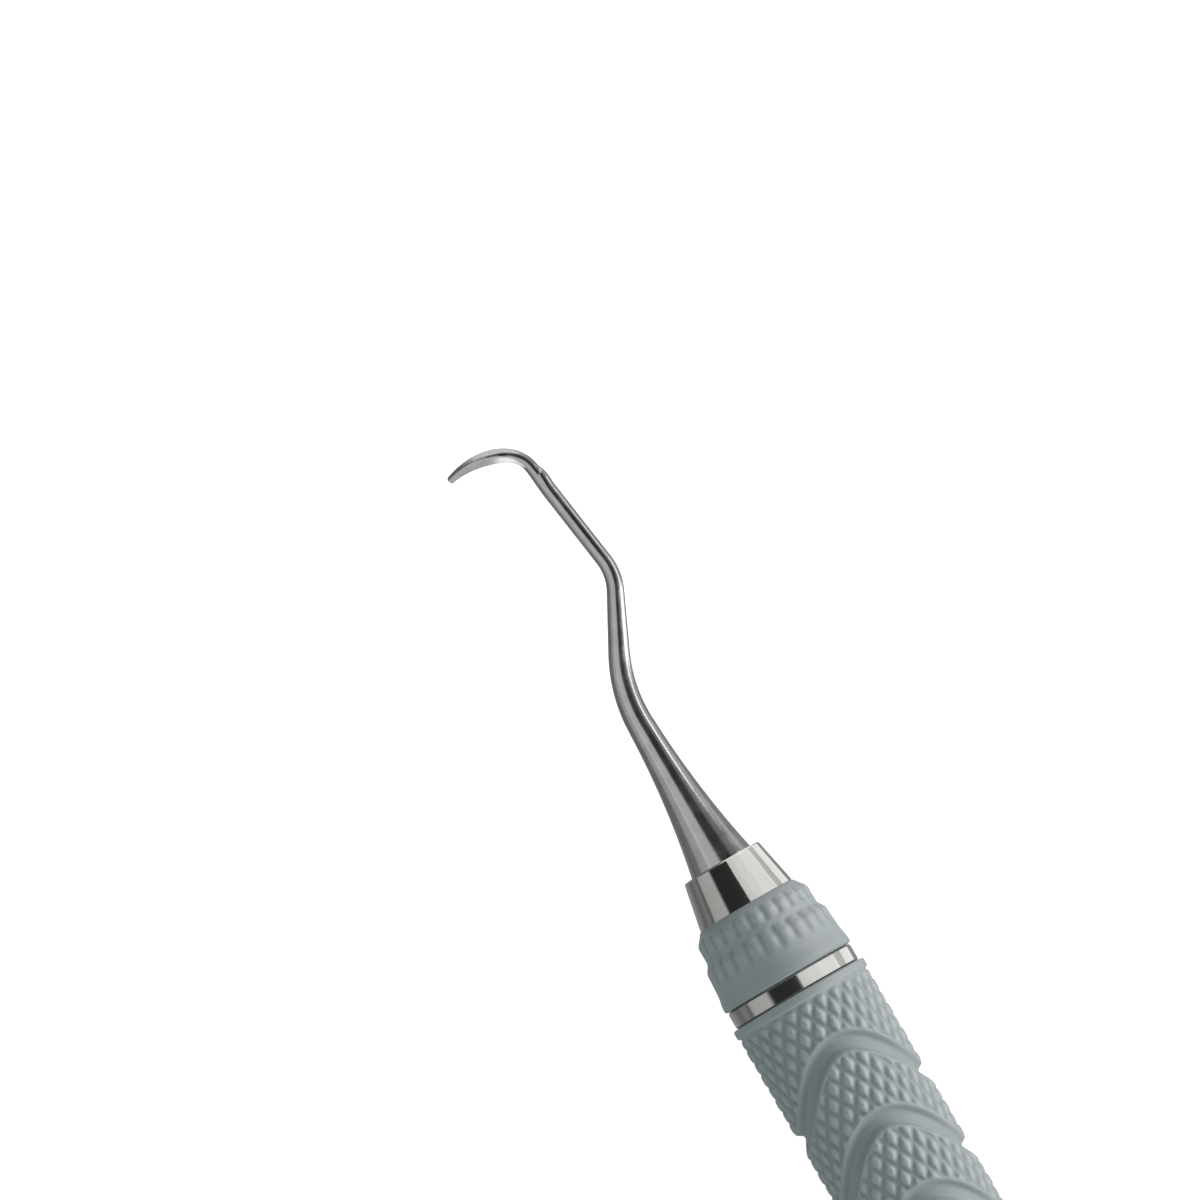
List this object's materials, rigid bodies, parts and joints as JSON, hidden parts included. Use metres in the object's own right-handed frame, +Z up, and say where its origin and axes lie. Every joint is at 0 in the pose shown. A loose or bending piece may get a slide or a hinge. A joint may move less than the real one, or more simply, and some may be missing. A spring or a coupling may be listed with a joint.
{
  "type": "dental hand instrument",
  "caption": "Double-ended dental hand instrument with hooked working ends, contra-angled shanks, steel collars and knurled silicone grips on a hollow handle.",
  "frame": {"origin": "under the middle of the handle, on the surface that the instrument lies on", "axes": "+X along the handle towards the front working end, whose toe points to +Y; both ends bend in the horizontal plane; +Z up"},
  "size_m": [0.1764, 0.0102, 0.0101],
  "materials": {
    "polished_steel": "polished stainless steel",
    "working_steel": "satin stainless steel, finely ground along its length",
    "tube_steel": "as-drawn stainless steel",
    "grip_silicone": "matte silicone, grey-blue",
    "seal_rubber": "matte black gasket"
  },
  "bodies": {
    "root": {"handle_tube": "tube_steel", "centre_barrel": "polished_steel", "front_working_end": "working_steel", "front_collar": "polished_steel", "front_seal_ring": "seal_rubber", "front_tang_bush": "tube_steel", "front_nose_grip": "grip_silicone", "front_band": "polished_steel", "front_grip_sleeve": "grip_silicone", "rear_working_end": "working_steel", "rear_collar": "polished_steel", "rear_seal_ring": "seal_rubber", "rear_tang_bush": "tube_steel", "rear_nose_grip": "grip_silicone", "rear_band": "polished_steel", "rear_grip_sleeve": "grip_silicone"}
  },
  "joints": []
}
